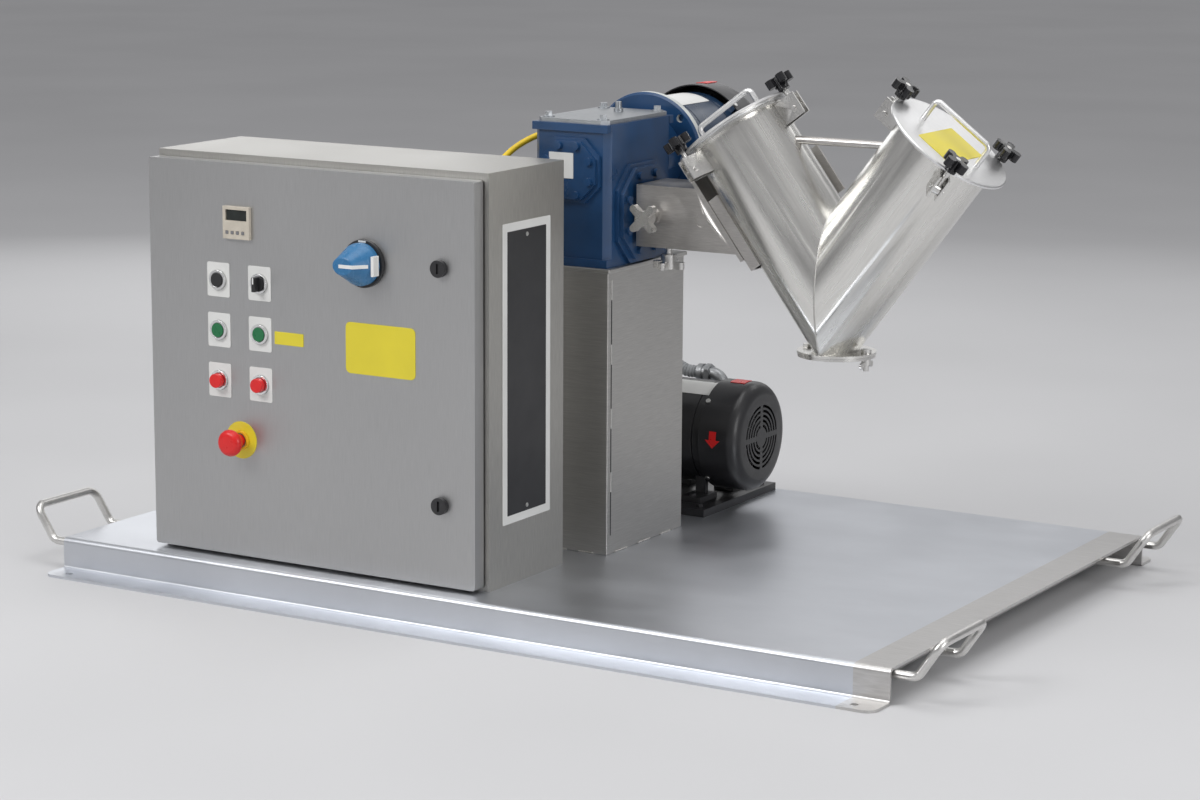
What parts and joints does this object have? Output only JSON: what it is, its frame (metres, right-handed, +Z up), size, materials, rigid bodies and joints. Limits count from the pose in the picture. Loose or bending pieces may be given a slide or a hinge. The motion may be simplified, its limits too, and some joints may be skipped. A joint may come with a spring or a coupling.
{
  "type": "v-blender",
  "caption": "Portable V-cone powder blender: two-legged steel vessel on a rotating arm, worm gearbox and motors on a carry skid with a control enclosure.",
  "frame": {"origin": "middle of the skid's footprint, on the floor plane under its lips", "axes": "+X along the skid's long side towards the vessel, +Y from the enclosure's front to the back, +Z up"},
  "size_m": [1.5442, 1, 0.7817],
  "materials": {
    "skid_steel": "brushed stainless sheet",
    "column_steel": "brushed stainless tube",
    "door_paint": "satin stainless",
    "vessel_steel": "polished stainless",
    "bright_steel": "bright turned steel",
    "blue_paint": "gloss enamel",
    "black_paint": "satin enamel",
    "white_panel": "powder coat",
    "grey_plastic": "moulded",
    "black_plastic": "moulded",
    "blue_plastic": "moulded",
    "green_plastic": "moulded",
    "red_plastic": "moulded",
    "beige_plastic": "moulded",
    "chrome_metal": "plated",
    "yellow_jacket": "extruded",
    "black_rubber": "matte",
    "pale_cast": "cast and turned"
  },
  "bodies": {
    "frame": {"skid_deck": "skid_steel", "carry_handles": "bright_steel", "column": "column_steel", "enclosure_body": "column_steel", "subpanel": "white_panel", "control_devices": "grey_plastic", "disconnect_switch": "grey_plastic", "gearbox_housing": "blue_paint", "gearbox_covers": "blue_paint", "motor_flange": "pale_cast", "blend_motor_body": "blue_paint", "blend_fan_cover": "black_paint", "chopper_motor_body": "black_paint", "chopper_fan_cover": "black_paint", "conduit": "grey_plastic", "conduit_fittings": "bright_steel", "motor_cable": "yellow_jacket", "belt_guard": "column_steel", "drive_belt": "black_rubber"},
    "door": {"door_panel": "door_paint", "door_gasket": "black_rubber", "timer": "beige_plastic", "door_bezels": "chrome_metal"},
    "latch_upper": {"latch_upper": "black_plastic"},
    "latch_lower": {"latch_lower": "black_plastic"},
    "disconnect_handle": {"disconnect_handle": "blue_plastic"},
    "disconnect_shaft": {"disconnect_shaft": "bright_steel"},
    "selector_knob": {"selector_knob": "black_plastic"},
    "blend_start": {"blend_start": "green_plastic"},
    "chopper_start": {"chopper_start": "green_plastic"},
    "blend_stop": {"blend_stop": "red_plastic"},
    "chopper_stop": {"chopper_stop": "red_plastic"},
    "jog_button": {"jog_button": "black_plastic"},
    "emergency_stop": {"emergency_stop": "red_plastic"},
    "drum": {"output_shaft": "bright_steel", "arm_sleeve": "column_steel", "vessel_bracket": "column_steel", "vessel_shell": "vessel_steel", "clamp_lugs": "bright_steel"},
    "blend_motor_rotor": {"blend_motor_rotor": "bright_steel"},
    "chopper_motor_rotor": {"chopper_motor_rotor": "bright_steel"},
    "chopper_shaft": {"chopper_shaft": "bright_steel"},
    "arm_knob_front": {"arm_knob_front": "bright_steel"},
    "arm_knob_bottom": {"arm_knob_bottom": "bright_steel"},
    "discharge_cover": {"discharge_cover": "bright_steel"},
    "wing_nut": {"wing_nut": "bright_steel"},
    "swing_bolt_l1": {"swing_bolt_l1": "bright_steel"},
    "star_knob_l1": {"star_knob_l1": "black_plastic"},
    "swing_bolt_l2": {"swing_bolt_l2": "bright_steel"},
    "star_knob_l2": {"star_knob_l2": "black_plastic"},
    "swing_bolt_l3": {"swing_bolt_l3": "bright_steel"},
    "star_knob_l3": {"star_knob_l3": "black_plastic"},
    "lid_left": {"lid_left": "vessel_steel"},
    "swing_bolt_r1": {"swing_bolt_r1": "bright_steel"},
    "star_knob_r1": {"star_knob_r1": "black_plastic"},
    "swing_bolt_r2": {"swing_bolt_r2": "bright_steel"},
    "star_knob_r2": {"star_knob_r2": "black_plastic"},
    "swing_bolt_r3": {"swing_bolt_r3": "bright_steel"},
    "star_knob_r3": {"star_knob_r3": "black_plastic"},
    "lid_right": {"lid_right": "vessel_steel"}
  },
  "joints": [
    {"name": "door_hinge", "type": "hinge", "parent": "frame", "child": "door", "pos_m": [-0.553, -0.38925, 0.35], "axis": [0, 0, -1], "range_deg": [0, 120]},
    {"name": "latch_upper_turn", "type": "hinge", "parent": "door", "child": "latch_upper", "pos_m": [-0.029, -0.4135, 0.516], "axis": [0, -1, 0], "range_deg": [0, 90]},
    {"name": "latch_lower_turn", "type": "hinge", "parent": "door", "child": "latch_lower", "pos_m": [-0.029, -0.4135, 0.174], "axis": [0, -1, 0], "range_deg": [0, 90]},
    {"name": "disconnect_turn", "type": "hinge", "parent": "door", "child": "disconnect_handle", "pos_m": [-0.158, -0.4135, 0.513], "axis": [0, 1, 0], "range_deg": [0, 90]},
    {"name": "disconnect_shaft_turn", "type": "hinge", "parent": "frame", "child": "disconnect_shaft", "pos_m": [-0.158, -0.4135, 0.513], "axis": [0, 1, 0], "range_deg": [0, 90]},
    {"name": "selector_turn", "type": "hinge", "parent": "door", "child": "selector_knob", "pos_m": [-0.346, -0.4135, 0.468], "axis": [0, 1, 0], "range_deg": [0, 90]},
    {"name": "blend_start_press", "type": "slide", "parent": "door", "child": "blend_start", "axis": [0, 1, 0], "range_m": [0, 0.004], "stiffness_N_per_m": 400},
    {"name": "chopper_start_press", "type": "slide", "parent": "door", "child": "chopper_start", "axis": [0, 1, 0], "range_m": [0, 0.004], "stiffness_N_per_m": 400},
    {"name": "blend_stop_press", "type": "slide", "parent": "door", "child": "blend_stop", "axis": [0, 1, 0], "range_m": [0, 0.004], "stiffness_N_per_m": 400},
    {"name": "chopper_stop_press", "type": "slide", "parent": "door", "child": "chopper_stop", "axis": [0, 1, 0], "range_m": [0, 0.004], "stiffness_N_per_m": 400},
    {"name": "jog_button_press", "type": "slide", "parent": "door", "child": "jog_button", "axis": [0, 1, 0], "range_m": [0, 0.004], "stiffness_N_per_m": 400},
    {"name": "emergency_stop_press", "type": "slide", "parent": "door", "child": "emergency_stop", "axis": [0, 1, 0], "range_m": [0, 0.004]},
    {"name": "drum_spin", "type": "hinge", "parent": "frame", "child": "drum", "pos_m": [0.393, -0.009, 0.56], "axis": [1, 0, 0], "continuous": true},
    {"name": "blend_motor_spin", "type": "hinge", "parent": "frame", "child": "blend_motor_rotor", "pos_m": [-0.004, 0.131, 0.627], "axis": [0, 1, 0], "continuous": true},
    {"name": "chopper_motor_spin", "type": "hinge", "parent": "frame", "child": "chopper_motor_rotor", "pos_m": [-0.087, 0.313, 0.163], "axis": [1, 0, 0], "continuous": true},
    {"name": "chopper_shaft_spin", "type": "hinge", "parent": "frame", "child": "chopper_shaft", "pos_m": [-0.121, -0.009, 0.56], "axis": [1, 0, 0], "continuous": true},
    {"name": "arm_knob_front_turn", "type": "hinge", "parent": "drum", "child": "arm_knob_front", "pos_m": [0.111, -0.055, 0.56], "axis": [0, -1, 0], "continuous": true},
    {"name": "arm_knob_bottom_turn", "type": "hinge", "parent": "drum", "child": "arm_knob_bottom", "pos_m": [0.111, -0.009, 0.514], "axis": [0, 0, -1], "continuous": true},
    {"name": "discharge_cover_turn", "type": "hinge", "parent": "drum", "child": "discharge_cover", "pos_m": [0.345, -0.009, 0.375], "axis": [0, 0, -1], "range_deg": [0, 100]},
    {"name": "wing_nut_turn", "type": "hinge", "parent": "drum", "child": "wing_nut", "pos_m": [0.441, -0.009, 0.365], "axis": [0, 0, 1], "continuous": true},
    {"name": "swing_bolt_l1_swing", "type": "hinge", "parent": "drum", "child": "swing_bolt_l1", "pos_m": [0.20081, 0.0776, 0.63796], "axis": [-0.6916, -0.5, -0.5212], "range_deg": [0, 75]},
    {"name": "star_knob_l1_turn", "type": "hinge", "parent": "swing_bolt_l1", "child": "star_knob_l1", "pos_m": [0.18155, 0.0776, 0.66352], "axis": [-0.6018, 0, 0.7986], "continuous": true},
    {"name": "swing_bolt_l2_swing", "type": "hinge", "parent": "drum", "child": "swing_bolt_l2", "pos_m": [0.3206, -0.009, 0.72824], "axis": [0, 1, 0], "range_deg": [0, 75]},
    {"name": "star_knob_l2_turn", "type": "hinge", "parent": "swing_bolt_l2", "child": "star_knob_l2", "pos_m": [0.30135, -0.009, 0.75379], "axis": [-0.6018, 0, 0.7986], "continuous": true},
    {"name": "swing_bolt_l3_swing", "type": "hinge", "parent": "drum", "child": "swing_bolt_l3", "pos_m": [0.20081, -0.0956, 0.63796], "axis": [0.6916, -0.5, 0.5212], "range_deg": [0, 75]},
    {"name": "star_knob_l3_turn", "type": "hinge", "parent": "swing_bolt_l3", "child": "star_knob_l3", "pos_m": [0.18155, -0.0956, 0.66352], "axis": [-0.6018, 0, 0.7986], "continuous": true},
    {"name": "lid_left_lift", "type": "slide", "parent": "drum", "child": "lid_left", "axis": [-0.6018, 0, 0.7986], "range_m": [0, 0.00785]},
    {"name": "swing_bolt_r1_swing", "type": "hinge", "parent": "drum", "child": "swing_bolt_r1", "pos_m": [0.58519, 0.0776, 0.63796], "axis": [-0.6916, 0.5, 0.5212], "range_deg": [0, 75]},
    {"name": "star_knob_r1_turn", "type": "hinge", "parent": "swing_bolt_r1", "child": "star_knob_r1", "pos_m": [0.60445, 0.0776, 0.66352], "axis": [0.6018, 0, 0.7986], "continuous": true},
    {"name": "swing_bolt_r2_swing", "type": "hinge", "parent": "drum", "child": "swing_bolt_r2", "pos_m": [0.4654, -0.009, 0.72824], "axis": [0, -1, 0], "range_deg": [0, 75]},
    {"name": "star_knob_r2_turn", "type": "hinge", "parent": "swing_bolt_r2", "child": "star_knob_r2", "pos_m": [0.48465, -0.009, 0.75379], "axis": [0.6018, 0, 0.7986], "continuous": true},
    {"name": "swing_bolt_r3_swing", "type": "hinge", "parent": "drum", "child": "swing_bolt_r3", "pos_m": [0.58519, -0.0956, 0.63796], "axis": [0.6916, 0.5, -0.5212], "range_deg": [0, 75]},
    {"name": "star_knob_r3_turn", "type": "hinge", "parent": "swing_bolt_r3", "child": "star_knob_r3", "pos_m": [0.60445, -0.0956, 0.66352], "axis": [0.6018, 0, 0.7986], "continuous": true},
    {"name": "lid_right_lift", "type": "slide", "parent": "drum", "child": "lid_right", "axis": [0.6018, 0, 0.7986], "range_m": [0, 0.00785]}
  ],
  "couplings": [
    {"joint": "swing_bolt_l1_swing", "follows": "lid_left_lift", "rad_per_m": 166.67},
    {"joint": "swing_bolt_l2_swing", "follows": "lid_left_lift", "rad_per_m": 166.67},
    {"joint": "swing_bolt_l3_swing", "follows": "lid_left_lift", "rad_per_m": 166.67},
    {"joint": "swing_bolt_r1_swing", "follows": "lid_right_lift", "rad_per_m": 166.67},
    {"joint": "swing_bolt_r2_swing", "follows": "lid_right_lift", "rad_per_m": 166.67},
    {"joint": "swing_bolt_r3_swing", "follows": "lid_right_lift", "rad_per_m": 166.67},
    {"joint": "disconnect_shaft_turn", "follows": "disconnect_turn", "ratio": 1},
    {"joint": "chopper_shaft_spin", "follows": "chopper_motor_spin", "ratio": 1.2667},
    {"joint": "blend_motor_spin", "follows": "drum_spin", "ratio": 60}
  ]
}
